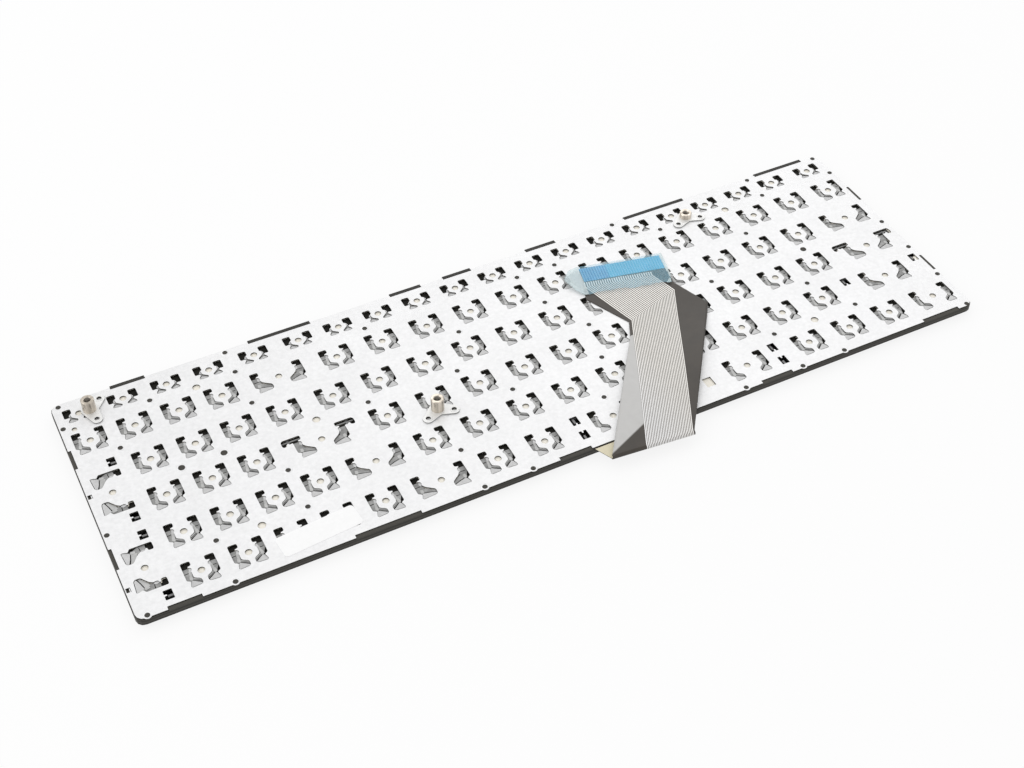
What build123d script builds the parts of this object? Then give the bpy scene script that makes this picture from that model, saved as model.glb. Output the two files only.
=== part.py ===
from build123d import *
import os
from collections import namedtuple
from functools import cache
from math import cos, radians, sin, tan

# A replacement keyboard for a laptop, lying on its key faces with the stamped back plate up.
# Millimetres. X runs along the rows towards Esc, Y towards the function row, Z out of the back.

# Key field, counted from the Esc side
KEY_PITCH = 19.05
ROW_PITCH = 18.9
NUMPAD_PITCH = 16.84
FUNCTION_PITCH = 16.885
FUNCTION_DEPTH = 11.8
ESC_WIDTH = 20.1
BACKSPACE_WIDTH = 28.44
TAB_WIDTH = 28.33
CAPS_WIDTH = 33.28
LEFT_SHIFT_WIDTH = 42.54
LEFT_CTRL_WIDTH = 23.68
SPACE_WIDTH = 96.97
ARROW_PITCH = 17.12
NUMBER_KEYS = 13
FUNCTION_KEYS = 14
NUMPAD_COLUMNS = 4

# Keycaps
KEY_GAP = 2.9
KEY_HEIGHT = 2.5
KEY_TOP_WALL = 1.1
KEY_SIDE_WALL = 1.2
KEY_DRAFT = 8.0

# Layers, from the key faces up
KEY_PROUD = 1.9
FRAME_HEIGHT = 2.3
MEMBRANE = 0.3
PLATE = 0.5

# Rims from the outer keycaps to the plate's edges
RIM_ESC = 1.0
RIM_NUMPAD = 1.9
RIM_NEAR = 2.95
RIM_FAR = 3.15
PLATE_CORNER = 3.0
CORNER_FLATS = 3

# Lattice frame round the keys
KEY_CLEARANCE = 0.4
FRAME_LIP = 0.25
FRAME_RIM = 0.7
LIP_REACH = 0.8
NOTCH_CLEARANCE = 0.15
NEAR_NOTCH = 1.2
FAR_NOTCH = 0.8
SIDE_NOTCH = 0.9
BLOCK_BELOW_BACK = 0.3
FAR_LIPS = [(-142.1, 13.4), (-81.0, 25.7), (-27.0, 13.5), (-4.1, 12.4), (34.3, 13.7), (88.7, 29.0),
            (151.7, 24.0)]
NEAR_BLOCKS = [(-155.1, 11.9), (-81.5, 24.8), (-7.8, 13.0), (79.2, 13.5), (156.4, 17.0)]
SIDE_BLOCKS = [(24.8, 9.6), (-26.2, 9.7)]

# Windows in the plate, for one half of a switch
WINDOW_OUT = 5.95
WINDOW_IN = 2.75
WINDOW_FOOT_IN = 0.95
WINDOW_FAR = 5.5
WINDOW_NECK = -2.3
WINDOW_NEAR = -5.9
FUNCTION_WINDOW_SCALE = 0.65
WINDOW_FOOT_OUT = 5.6
BROAD_FROM = 22.0
BROAD_SPREAD = 2.6
WIDE_FROM = 26.0
WIDE_SPREAD = 4.2
WIDE_FOOT_REACH = 1.8
TALL_FROM = 28.0
SPACE_SWITCH_OFFSET = 29.4

# Rubber domes on the membrane
DOME_BASE = 2.6
DOME_TOP = 1.5
DOME_SIDES = 6

# Stabiliser bars and their windows
BAR = 0.8
BAR_LINE = 6.2
BAR_ARM = 2.4
BAR_WINDOW = (3.1, 4.2)
TALL_BAR_INSET = 4.5
SHIFT_BAR_INSET = 4.3
WIDE_BAR_INSET = 5.1
SPACE_BAR_INSET = 5.0

# Threaded standoffs on two-eared flanges, then place, turn and height of each
STANDOFF_OD = 5.0
STANDOFF_BORE = 2.5
STANDOFF_FLOOR = 0.4
FLANGE = 0.6
FLANGE_PAD = 3.2
EAR_RADIUS = 2.1
EAR_ACROSS = 5.3
EAR_BACK = 3.1
STANDOFFS = [(-158.8, 46.6, 70.0, 5.2), (-43.2, -11.65, 0.5, 5.5), (97.9, 43.65, 0.5, 2.1)]

# Membrane tail, folded round the near edge and laid back over the plate
TAIL = 0.2
TAIL_CREASE = (19.2, -63.4)
TAIL_CREASE_ANGLE = -5.0
TAIL_CREASE_LENGTH = 33.1
TAIL_EXIT_HEADING = 115.0
TAIL_FOLD_RADIUS = 0.9
TAIL_RISE = 2.4
TAIL_START_SLOPE = 0.1
TAIL_FLAT_FROM = 70.0
TAIL_ROOT = 1.5
TAIL_SLOT_CLEARANCE = 0.6
TAIL_SLOT_DEPTH = 2.8
TAIL_CUT = 20.0
KNEE_NUMPAD = (40.0, -10.3)
THROAT_NUMPAD = (43.9, -2.5)
SHOULDER_NUMPAD = (35.2, 16.7)
KNEE_ESC = (72.7, -14.2)
SHOULDER_ESC = (77.8, -6.8)
WAIST_ESC = (71.8, 10.3)
HEAD_CENTRE = (58.4, 30.5)
HEAD_ANGLE = -12.3
HEAD_WIDTH = 34.8
STIFFENER_DEPTH = 8.0
STIFFENER = 0.25
FILM = 0.1
FILM_CORNERS = [(-18.5, -1.2), (-25.1, 6.0), (-19.1, 16.0), (14.4, 17.5), (17.6, 13.5), (18.2, -1.2)]
TAPE = 0.1
TAPE_EDGE_GAP = 0.3

# Blank label
LABEL = 0.1
LABEL_SIZE = (30.0, 9.4)
LABEL_CORNER = 1.4
LABEL_PLACE = (-104.1, -46.0)
LABEL_TURN = 5.0

# Heights worked out from the layers
frame_front = KEY_PROUD
membrane_low = frame_front + FRAME_HEIGHT
plate_low = membrane_low + MEMBRANE
plate_top = plate_low + PLATE

# Plate size from the key field and its rims
main_width = NUMBER_KEYS * KEY_PITCH + BACKSPACE_WIDTH
plate_width = main_width + NUMPAD_COLUMNS * NUMPAD_PITCH - KEY_GAP + RIM_ESC + RIM_NUMPAD
plate_depth = 5 * ROW_PITCH + FUNCTION_DEPTH - KEY_GAP + RIM_NEAR + RIM_FAR
field_esc = plate_width / 2 - RIM_ESC + KEY_GAP / 2
main_numpad = field_esc - main_width
row_y = [-plate_depth / 2 + RIM_NEAR - KEY_GAP / 2 + ROW_PITCH * (k + 0.5) for k in range(5)]
function_y = row_y[4] + ROW_PITCH / 2 + FUNCTION_DEPTH / 2

Key = namedtuple("Key", "name x y width depth")
Switch = namedtuple("Switch", "x y spread reach scale turned")
Bar = namedtuple("Bar", "x y half along_x arms windows")


def run_of_keys(names, widths, start, y, depth=ROW_PITCH):
    """Keys side by side from start towards the number pad, as (keys, far end of the run)."""
    keys = []
    edge = start
    for name, width in zip(names, widths):
        keys.append(Key(name, edge - width / 2, y, width, depth))
        edge -= width
    return keys, edge


def filling_key(name, start, end, y):
    """One key that fills the row from start to end."""
    return Key(name, (start + end) / 2, y, start - end, ROW_PITCH)


def main_block():
    """Typing keys with their edit and shift keys, row by row from the space bar up."""
    space_row, number_row = row_y[0], row_y[4]
    keys = []
    names = "left_ctrl fn system left_alt space right_alt menu".split()
    widths = [LEFT_CTRL_WIDTH, KEY_PITCH, KEY_PITCH, KEY_PITCH, SPACE_WIDTH, KEY_PITCH, KEY_PITCH]
    run, edge = run_of_keys(names, widths, field_esc, space_row)
    arrow_start = main_numpad + 2 * ARROW_PITCH
    keys += run + [filling_key("right_ctrl", edge, arrow_start, space_row)]
    run, edge = run_of_keys(["left_shift"] + list("zxcvbnm") + ["comma", "period", "slash"],
                            [LEFT_SHIFT_WIDTH] + 10 * [KEY_PITCH], field_esc, row_y[1])
    keys += run + [filling_key("right_shift", edge, main_numpad + ARROW_PITCH, row_y[1])]
    run, edge = run_of_keys(["caps"] + list("asdfghjkl") + ["semicolon", "quote"],
                            [CAPS_WIDTH] + 11 * [KEY_PITCH], field_esc, row_y[2])
    keys += run + [filling_key("enter", edge, main_numpad, row_y[2])]
    run, edge = run_of_keys(["tab"] + list("qwertyuiop") + ["left_bracket", "right_bracket"],
                            [TAB_WIDTH] + 12 * [KEY_PITCH], field_esc, row_y[3])
    keys += run + [filling_key("backslash", edge, main_numpad, row_y[3])]
    run, edge = run_of_keys(["grave"] + list("1234567890") + ["minus", "equal"],
                            NUMBER_KEYS * [KEY_PITCH], field_esc, number_row)
    keys += run + [filling_key("backspace", edge, main_numpad, number_row)]
    return keys


def arrow_keys():
    """Inverted T of cursor keys, one of them under the number pad's first column."""
    low, _ = run_of_keys(["arrow_left", "arrow_down", "arrow_right"], 3 * [ARROW_PITCH],
                         main_numpad + 2 * ARROW_PITCH, row_y[0])
    high, _ = run_of_keys(["arrow_up"], [ARROW_PITCH], main_numpad + ARROW_PITCH, row_y[1])
    return low + high


def number_pad():
    """Number pad of four columns, with two keys that are two rows tall at its outer side."""
    keys = []
    for row, first in zip(range(5), [1, 0, 0, 0, 0]):
        last = NUMPAD_COLUMNS if row == 4 else NUMPAD_COLUMNS - 1
        for column in range(first, last):
            x = main_numpad - NUMPAD_PITCH * (column + 0.5)
            keys.append(Key(f"pad_{row}_{column}", x, row_y[row], NUMPAD_PITCH, ROW_PITCH))
    outer = main_numpad - NUMPAD_PITCH * (NUMPAD_COLUMNS - 0.5)
    for name, low in (("pad_enter", 0), ("pad_plus", 2)):
        middle = (row_y[low] + row_y[low + 1]) / 2
        keys.append(Key(name, outer, middle, NUMPAD_PITCH, 2 * ROW_PITCH))
    return keys


def function_row():
    """Shallow keys along the far edge."""
    fill = field_esc - ESC_WIDTH - FUNCTION_KEYS * FUNCTION_PITCH - main_numpad
    widths = [ESC_WIDTH] + FUNCTION_KEYS * [FUNCTION_PITCH] + [fill] + NUMPAD_COLUMNS * [NUMPAD_PITCH]
    names = [f"function_{k}" for k in range(len(widths))]
    keys, _ = run_of_keys(names, widths, field_esc, function_y, FUNCTION_DEPTH)
    return keys


def switches_under(key):
    """Switch places under one key: the space bar has two, every other key one."""
    if key.width > SPACE_WIDTH - KEY_PITCH:
        places = [key.x + side * SPACE_SWITCH_OFFSET for side in (-1, 1)]
        return [Switch(x, key.y, BROAD_SPREAD, 0.0, 1.0, False) for x in places]
    if key.depth > TALL_FROM:
        return [Switch(key.x, key.y, WIDE_SPREAD, WIDE_FOOT_REACH, 1.0, True)]
    if key.width > WIDE_FROM:
        return [Switch(key.x, key.y, WIDE_SPREAD, WIDE_FOOT_REACH, 1.0, False)]
    spread = BROAD_SPREAD if key.width > BROAD_FROM else 0.0
    scale = FUNCTION_WINDOW_SCALE if key.depth < ROW_PITCH else 1.0
    return [Switch(key.x, key.y, spread, 0.0, scale, False)]


def place(switch, x, y):
    """A point of a switch's own plan, laid out on the plate."""
    if switch.turned:
        x, y = y, -x
    return switch.x + x, switch.y + y * switch.scale


def window_outline(switch, side):
    """Corners of one hook window, with its foot flared towards the dome."""
    own = [(WINDOW_OUT, WINDOW_FAR), (WINDOW_IN, WINDOW_FAR), (WINDOW_IN, WINDOW_NECK),
           (WINDOW_FOOT_IN - switch.reach, WINDOW_NEAR), (WINDOW_FOOT_OUT, WINDOW_NEAR)]
    return [place(switch, side * (x + switch.spread), y) for x, y in own]


def polygon_wire(points):
    return Wire.make_polygon([Vector(x, y) for x, y in points], close=True)


def rectangle_points(x, y, width, depth):
    return [(x - width / 2, y - depth / 2), (x + width / 2, y - depth / 2),
            (x + width / 2, y + depth / 2), (x - width / 2, y + depth / 2)]


def sheet(outline, holes, low, height):
    """A flat sheet of the given outline wire with polygon holes."""
    face = Face(outline, [polygon_wire(points) for points in holes])
    return Pos(0, 0, low) * extrude(face, height, dir=(0, 0, 1))


def flat_solid(low, high):
    """A flat-sided solid between two polygons with the same number of corners."""
    faces = [Face(Wire.make_polygon(low, close=True)), Face(Wire.make_polygon(high, close=True))]
    for k in range(len(low)):
        side = [low[k - 1], low[k], high[k], high[k - 1]]
        faces.append(Face(Wire.make_polygon(side, close=True)))
    return Solid(Shell(faces))


def bar_lines(keys):
    """Middle line of each stabiliser bar, the side of its arms, and if the plate is open over its ends."""
    by_name = {key.name: key for key in keys}
    bars = []
    for name in ("pad_plus", "pad_enter"):
        key = by_name[name]
        bars.append(Bar(key.x + BAR_LINE, key.y, key.depth / 2 - TALL_BAR_INSET, False, -1, True))
    for name, inset, windows in (("left_shift", SHIFT_BAR_INSET, True), ("caps", WIDE_BAR_INSET, False),
                                 ("enter", WIDE_BAR_INSET, False)):
        key = by_name[name]
        bars.append(Bar(key.x, key.y + BAR_LINE, key.width / 2 - inset, True, -1, windows))
    space = by_name["space"]
    half = space.width / 2 - SPACE_BAR_INSET
    for side in (-1, 1):
        bars.append(Bar(space.x, space.y + side * BAR_LINE, half, True, -side, True))
    return bars


def stabiliser_bar(bar):
    """A square wire bent into a shallow U, lying in its hooks against the membrane."""
    outer = Pos(0, bar.arms * BAR_ARM / 2) * Rectangle(2 * bar.half + BAR, BAR + BAR_ARM)
    inner = Pos(0, bar.arms * (BAR_ARM + BAR) / 2) * Rectangle(2 * bar.half - BAR, BAR_ARM)
    turn = Rot(0, 0, 0 if bar.along_x else -90)
    return Pos(bar.x, bar.y, membrane_low - BAR) * turn * extrude(outer - inner, BAR)


def bar_windows(bars):
    """Plate windows over the ends of the stabiliser bars that have hooks of their own."""
    holes = []
    for bar in bars:
        for end in (-1, 1) if bar.windows else ():
            if bar.along_x:
                place_x, place_y = bar.x + end * bar.half, bar.y + bar.arms * BAR_ARM
            else:
                place_x, place_y = bar.x + bar.arms * BAR_ARM, bar.y + end * bar.half
            holes.append(rectangle_points(place_x, place_y, *BAR_WINDOW))
    return holes


def corner_outline(width, depth, corner):
    """A rectangle whose corners are rounded off by short flats."""
    points = []
    for turn, (x, y) in zip((0, 90, 180, 270), ((1, 1), (-1, 1), (-1, -1), (1, -1))):
        centre_x, centre_y = x * (width / 2 - corner), y * (depth / 2 - corner)
        for k in range(CORNER_FLATS + 1):
            angle = radians(turn + 90 * k / CORNER_FLATS)
            points.append((centre_x + corner * cos(angle), centre_y + corner * sin(angle)))
    return Sketch() + Face(polygon_wire(points))


def notched_outline(width, depth, notches):
    """Such a rectangle with a shallow rectangular notch at each given place."""
    cuts = [Pos(x, y) * Rectangle(w, d) for x, y, w, d in notches]
    return corner_outline(width, depth, PLATE_CORNER) - cuts


def edge_blocks(clearance):
    """Footprints on the plate's edges where the frame reaches up: (x, y, width, depth)."""
    far, near, side = plate_depth / 2, -plate_depth / 2, plate_width / 2
    blocks = [(x, far, w + clearance, 2 * (FAR_NOTCH + clearance)) for x, w in FAR_LIPS]
    blocks += [(x, near, w + clearance, 2 * (NEAR_NOTCH + clearance)) for x, w in NEAR_BLOCKS]
    for x in (-side, side):
        blocks += [(x, y, 2 * (SIDE_NOTCH + clearance), w + clearance) for y, w in SIDE_BLOCKS]
    return blocks


def base_plate(switches, bars):
    """Stamped metal back with its windows and edge notches."""
    holes = [window_outline(switch, side) for switch in switches for side in (-1, 1)] + bar_windows(bars)
    outline = notched_outline(plate_width, plate_depth, edge_blocks(NOTCH_CLEARANCE)).face().outer_wire()
    return sheet(outline, holes, plate_low, PLATE)


def bezel_frame(keys):
    """Moulded lattice between the keys, with a rim up to the plate and lips along its edges."""
    width, depth = plate_width + 2 * FRAME_LIP, plate_depth + 2 * FRAME_LIP
    outside = corner_outline(width, depth, PLATE_CORNER)
    grow = 2 * KEY_CLEARANCE - KEY_GAP
    holes = [rectangle_points(key.x, key.y, key.width + grow, key.depth + grow) for key in keys]
    frame = sheet(outside.face().outer_wire(), holes, frame_front, FRAME_HEIGHT)
    inside = corner_outline(plate_width - 2 * FRAME_RIM, plate_depth - 2 * FRAME_RIM,
                            PLATE_CORNER - FRAME_RIM)
    pieces = [Pos(0, 0, membrane_low) * extrude(outside - inside, MEMBRANE)]
    for x, y, w, d in edge_blocks(0.0):
        footprint = Pos(x, y) * Rectangle(w, d)
        if y == plate_depth / 2:
            high, block = plate_top, footprint & Pos(0, LIP_REACH - FRAME_LIP) * outside
        else:
            high, block = plate_top - BLOCK_BELOW_BACK, footprint & outside
        pieces.append(Pos(0, 0, membrane_low) * extrude(block, high - membrane_low))
    slot_low, slot_high = tail_edge_span()
    slot = Box(slot_high - slot_low, TAIL_SLOT_DEPTH, MEMBRANE, align=(Align.MIN, Align.CENTER, Align.MIN))
    return frame + pieces - Pos(slot_low, -plate_depth / 2, membrane_low) * slot


def crease_ends():
    """Ends of the tail's fold line, numpad side first."""
    turn = radians(TAIL_CREASE_ANGLE)
    half = TAIL_CREASE_LENGTH / 2
    x, y = TAIL_CREASE
    return (x - half * cos(turn), y - half * sin(turn)), (x + half * cos(turn), y + half * sin(turn))


def exit_point(start, y):
    """Where the tail's side from a crease end meets the line at y, before the fold."""
    return start[0] + (y - start[1]) / tan(radians(TAIL_EXIT_HEADING)), y


def tail_edge_span():
    """X range of the slot that the tail needs at the near edge."""
    numpad, esc = [exit_point(end, -plate_depth / 2)[0] for end in crease_ends()]
    return numpad - TAIL_SLOT_CLEARANCE, esc + TAIL_SLOT_CLEARANCE


def head_corner(across, back):
    """A point of the tail's connector end, across it and back from its edge."""
    turn = radians(HEAD_ANGLE)
    x, y = HEAD_CENTRE
    return x + across * cos(turn) + back * sin(turn), y + across * sin(turn) - back * cos(turn)


def tail_return():
    """The folded-back stretch: a bulged sheet cut to the tail's outline."""
    numpad, esc = crease_ends()
    plan = [numpad, KNEE_NUMPAD, THROAT_NUMPAD, SHOULDER_NUMPAD, head_corner(-HEAD_WIDTH / 2, 0.0),
            head_corner(HEAD_WIDTH / 2, 0.0), head_corner(HEAD_WIDTH / 2, STIFFENER_DEPTH), WAIST_ESC,
            SHOULDER_ESC, KNEE_ESC, esc]
    start = plate_low - TAIL / 2 + 2 * TAIL_FOLD_RADIUS - TAIL / 2
    length = 2 * (HEAD_CENTRE[1] - TAIL_CREASE[1])
    low = [(0, start), (TAIL_FLAT_FROM / 2, plate_top + TAIL_RISE), (TAIL_FLAT_FROM, plate_top)]
    high = [(s, z + TAIL) for s, z in low]
    under = Spline(*low, tangents=[(1, TAIL_START_SLOPE), (1, 0)])
    over = Spline(*high, tangents=[(1, TAIL_START_SLOPE), (1, 0)])
    flat = Polyline((TAIL_FLAT_FROM, plate_top), (length, plate_top), (length, plate_top + TAIL),
                    (TAIL_FLAT_FROM, plate_top + TAIL))
    profile = make_face([under, over, flat, Line(low[0], high[0])])
    turn = radians(TAIL_CREASE_ANGLE)
    across = (cos(turn), sin(turn), 0)
    side_on = Plane(origin=(*TAIL_CREASE, 0), x_dir=(-sin(turn), cos(turn), 0), z_dir=across)
    swept = extrude(side_on * profile, length, both=True)
    return swept & extrude(Face(polygon_wire(plan)), TAIL_CUT, dir=(0, 0, 1))


def tail_fold():
    """The half turn of film at the crease."""
    outer = TAIL_FOLD_RADIUS + TAIL / 2
    ring = Circle(outer) - Circle(outer - TAIL)
    half_ring = ring & (Pos(0, outer) * Rectangle(4 * outer, 2 * outer))
    turn = radians(TAIL_CREASE_ANGLE)
    middle = plate_low - TAIL / 2 + TAIL_FOLD_RADIUS
    end_on = Plane(origin=(*TAIL_CREASE, middle), x_dir=(0, 0, 1), z_dir=(cos(turn), sin(turn), 0))
    return extrude(end_on * half_ring, TAIL_CREASE_LENGTH / 2, both=True)


def switch_membrane():
    """Laminated switch sheet with its tail run out, folded and laid back over the plate."""
    gap = FRAME_RIM + NOTCH_CLEARANCE
    width, depth = plate_width - 2 * gap, plate_depth - 2 * gap
    blocks = edge_blocks(2 * NOTCH_CLEARANCE)
    outline = notched_outline(width, depth, blocks).face().outer_wire()
    film = sheet(outline, [], membrane_low, MEMBRANE)
    numpad, esc = crease_ends()
    inside = -depth / 2 + TAIL_ROOT
    strip = [numpad, esc, exit_point(esc, inside), exit_point(numpad, inside)]
    out = Pos(0, 0, plate_low - TAIL) * extrude(Face(polygon_wire(strip)), TAIL, dir=(0, 0, 1))
    return film + [out, tail_fold(), tail_return()]


def rubber_domes(switches):
    """One low dome on the membrane over each switch, reaching down into its keycap."""
    rims = []
    for radius, z in ((DOME_TOP, KEY_TOP_WALL), (DOME_BASE, membrane_low)):
        angles = [radians(360 * k / DOME_SIDES) for k in range(DOME_SIDES)]
        rims.append([Vector(radius * cos(a), radius * sin(a), z) for a in angles])
    dome = flat_solid(*rims)
    return [Pos(switch.x, switch.y) * dome for switch in switches]


@cache
def keycap_shape(width, depth):
    """A shallow cap with drafted sides, hollow underneath."""
    skirt = Plane((0, 0, KEY_HEIGHT)) * Rectangle(width, depth)
    body = extrude(skirt, KEY_HEIGHT, dir=(0, 0, -1), taper=KEY_DRAFT)
    hollow = Box(width - 2 * KEY_SIDE_WALL, depth - 2 * KEY_SIDE_WALL, KEY_HEIGHT - KEY_TOP_WALL,
                 align=(Align.CENTER, Align.CENTER, Align.MIN))
    return body - Pos(0, 0, KEY_TOP_WALL) * hollow


def keycap(key):
    """The cap of one key, in its place."""
    return Pos(key.x, key.y) * keycap_shape(round(key.width - KEY_GAP, 6), round(key.depth - KEY_GAP, 6))


def standoff_flange(x, y, turn):
    """A thin two-eared bracket that carries one standoff."""
    pad = Circle(FLANGE_PAD)
    ears = []
    for side in (-1, 1):
        ear = Pos(side * EAR_ACROSS, -EAR_BACK) * Circle(EAR_RADIUS)
        ears.append(make_hull((pad + ear).edges()))
    return Pos(x, y, plate_top) * Rot(0, 0, turn) * extrude(ears[0] + ears[1], FLANGE)


def standoff(x, y, height):
    """A round threaded pillar with a blind bore from its free end."""
    pillar = Cylinder(STANDOFF_OD / 2, height, align=(Align.CENTER, Align.CENTER, Align.MIN))
    bore = Cylinder(STANDOFF_BORE / 2, height - STANDOFF_FLOOR, align=(Align.CENTER, Align.CENTER, Align.MIN))
    return Pos(x, y, plate_top + FLANGE) * (pillar - Pos(0, 0, STANDOFF_FLOOR) * bore)


def head_sheet(corners, low, height):
    """A flat sheet laid over the tail's connector end, its corners given across it and back from its edge."""
    plan = [head_corner(across, back) for across, back in corners]
    return Pos(0, 0, low) * extrude(Face(polygon_wire(plan)), height, dir=(0, 0, 1))


def fold_tape():
    """A strip of adhesive tape on the tail between the plate's edge and the crease."""
    edge = -plate_depth / 2 - FRAME_LIP - TAPE_EDGE_GAP
    numpad, esc = crease_ends()
    plan = [numpad, esc, exit_point(esc, edge), exit_point(numpad, edge)]
    return Pos(0, 0, plate_low) * extrude(Face(polygon_wire(plan)), TAPE, dir=(0, 0, 1))


def label():
    """A blank paper label with round corners."""
    shape = extrude(RectangleRounded(*LABEL_SIZE, LABEL_CORNER), LABEL)
    return Pos(*LABEL_PLACE, plate_top) * Rot(0, 0, LABEL_TURN) * shape


SINGLE = (list("abcdefghijklmnopqrstuvwxyz1234567890")
          + "minus equal left_bracket right_bracket semicolon quote comma period slash space".split())


def build():
    """Every node of the keyboard, by name."""
    typing, arrows, pad, functions = main_block(), arrow_keys(), number_pad(), function_row()
    keys = typing + arrows + pad + functions
    switches = [switch for key in keys for switch in switches_under(key)]
    bars = bar_lines(keys)
    half = HEAD_WIDTH / 2
    stiffener = [(-half, 0.0), (half, 0.0), (half, STIFFENER_DEPTH), (-half, STIFFENER_DEPTH)]
    on_tail = plate_top + TAIL
    nodes = {
        "base_plate": base_plate(switches, bars),
        "bezel_frame": bezel_frame(keys),
        "switch_membrane": switch_membrane(),
        "rubber_domes": Compound(rubber_domes(switches)),
        "stabilizer_bars": Compound([stabiliser_bar(bar) for bar in bars]),
        "standoff_flanges": Compound([standoff_flange(x, y, turn) for x, y, turn, _ in STANDOFFS]),
        "threaded_standoffs": Compound([standoff(x, y, high) for x, y, _, high in STANDOFFS]),
        "tail_stiffener": head_sheet(stiffener, on_tail, STIFFENER),
        "tail_cover_film": head_sheet(FILM_CORNERS, on_tail + STIFFENER, FILM),
        "fold_tape": fold_tape(),
        "blank_label": label(),
    }
    fixed = [key for key in typing if key.name not in SINGLE] + arrows
    nodes["edit_keycaps"] = Compound([keycap(key) for key in fixed])
    nodes["pad_keycaps"] = Compound([keycap(key) for key in pad])
    nodes["function_keycaps"] = Compound([keycap(key) for key in functions])
    for key in typing:
        if key.name in SINGLE:
            nodes[f"keycap_{key.name}"] = keycap(key)
    return nodes


nodes = build()
box = Compound(list(nodes.values())).bounding_box()
centred = Pos(-box.center().X, -box.center().Y, -box.min.Z)
os.makedirs("parts", exist_ok=True)
for name, shape in nodes.items():
    export_step(centred * shape, f"parts/{name}.step")
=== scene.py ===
from math import cos, pi, radians, sin, tan

import bmesh
import bpy
from mathutils import Matrix, Vector, noise
from mathutils.bvhtree import BVHTree


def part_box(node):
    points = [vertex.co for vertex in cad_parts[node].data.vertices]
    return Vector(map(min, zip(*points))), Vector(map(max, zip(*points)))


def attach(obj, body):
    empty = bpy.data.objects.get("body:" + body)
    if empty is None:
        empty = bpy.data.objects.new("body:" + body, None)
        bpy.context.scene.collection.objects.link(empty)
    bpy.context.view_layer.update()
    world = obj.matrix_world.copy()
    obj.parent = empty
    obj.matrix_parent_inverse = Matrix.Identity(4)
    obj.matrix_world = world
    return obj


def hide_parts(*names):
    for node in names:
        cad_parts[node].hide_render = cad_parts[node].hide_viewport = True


bl_info = {
    "name": "Laptop Replacement Keyboard",
    "version": (1, 0, 0),
    "blender": (4, 5, 0),
    "location": "View3D > Sidebar > Keyboard",
    "description": "Dresses the solids of a laptop keyboard module with its stamped back, tail and finishes",
    "category": "Object",
}

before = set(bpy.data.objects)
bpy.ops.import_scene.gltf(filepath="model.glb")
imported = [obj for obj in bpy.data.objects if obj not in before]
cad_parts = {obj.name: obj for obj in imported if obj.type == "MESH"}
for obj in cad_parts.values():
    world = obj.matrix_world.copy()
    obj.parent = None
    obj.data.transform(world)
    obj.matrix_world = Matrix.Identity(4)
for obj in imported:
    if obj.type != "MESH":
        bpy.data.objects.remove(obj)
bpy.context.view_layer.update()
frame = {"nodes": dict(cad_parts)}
plate_box_low, plate_box_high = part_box("base_plate")
plate_top = plate_box_high.z
plate_low = plate_box_low.z
plate_middle = (plate_box_low + plate_box_high) / 2

MM = 0.001
BASE = "keyboard_base"
KEY_GROUPS = ("edit_keycaps", "pad_keycaps", "function_keycaps")

# Finishes: how much gloss varies, depth of the relief, detail of the noise, and lines laid over them
GLOSS_SPREAD, RELIEF_DEPTH, NOISE_DETAIL = 0.15, 0.1, 6.0
WAVE_SCALE, LINE_SPAN = 0.314, (0.35, 0.75)

# Meshes: faces steeper than this are sides, and edges sharper than this angle stay sharp
UPRIGHT, SHARP_ANGLE = 0.3, 35

# Cap sizes that change a switch's windows, and how much further apart those windows stand, in millimetres
SPACE_CAP, WIDE_CAP, BROAD_CAP, TALL_CAP, SHALLOW_CAP = 80.0, 23.0, 19.1, 25.0, 12.0
SPACE_SWITCH_OFFSET = 29.4
BROAD_SPREAD, WIDE_SPREAD = 2.6, 4.2

# Half of a switch's windows, in millimetres from the key's middle: X away from it, Y to the function row
HEAD = [(5.97, 5.4), (2.6, 5.4), (2.6, 3.45), (3.9, 3.25), (3.85, 2.75), (3.0, 2.4), (2.85, 1.5)]
FOOT_END = [(5.2, -4.6), (4.6, -3.3), (5.75, -2.65), (5.97, -2.3)]
WING = [(5.97, 2.9), (7.3, 2.6), (7.5, 3.2), (8.2, 3.2), (8.4, 2.2), (9.6, 1.9), (10.1, 2.5), (10.1, 4.6),
        (9.4, 5.4)]
WINDOW = HEAD + [(3.3, 1.0), (3.3, -2.0), (1.0, -3.4), (1.0, -5.2), (1.7, -5.75), (5.25, -5.95)] + FOOT_END
WIDE_WINDOW = HEAD + [(3.1, 0.7), (2.2, -0.6), (-0.7, -2.75), (-0.7, -4.6), (0.0, -5.3),
                      (5.25, -5.7)] + FOOT_END
LOW_WINDOW = [(5.68, 3.44), (2.53, 3.44), (2.53, 1.0), (3.3, 0.7), (3.05, -0.2), (3.0, -1.2), (0.95, -2.8),
              (1.1, -3.5), (2.2, -3.85), (4.65, -3.6), (4.4, -2.6), (3.6, -1.75), (3.95, -0.95), (5.68, -1.1)]
WINDOWS = {"plain": WINDOW, "wide": WIDE_WINDOW, "tall": WIDE_WINDOW, "winged": WIDE_WINDOW[1:] + WING,
           "low": LOW_WINDOW}


def level(drop, *points):
    """Corners that all hang at one drop under the back."""
    return [(x, y, drop) for x, y in points]


def box_points(x0, y0, x1, y1):
    """Corners of a rectangle between two opposite ones."""
    return [(x0, y0), (x1, y0), (x1, y1), (x0, y1)]


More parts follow.
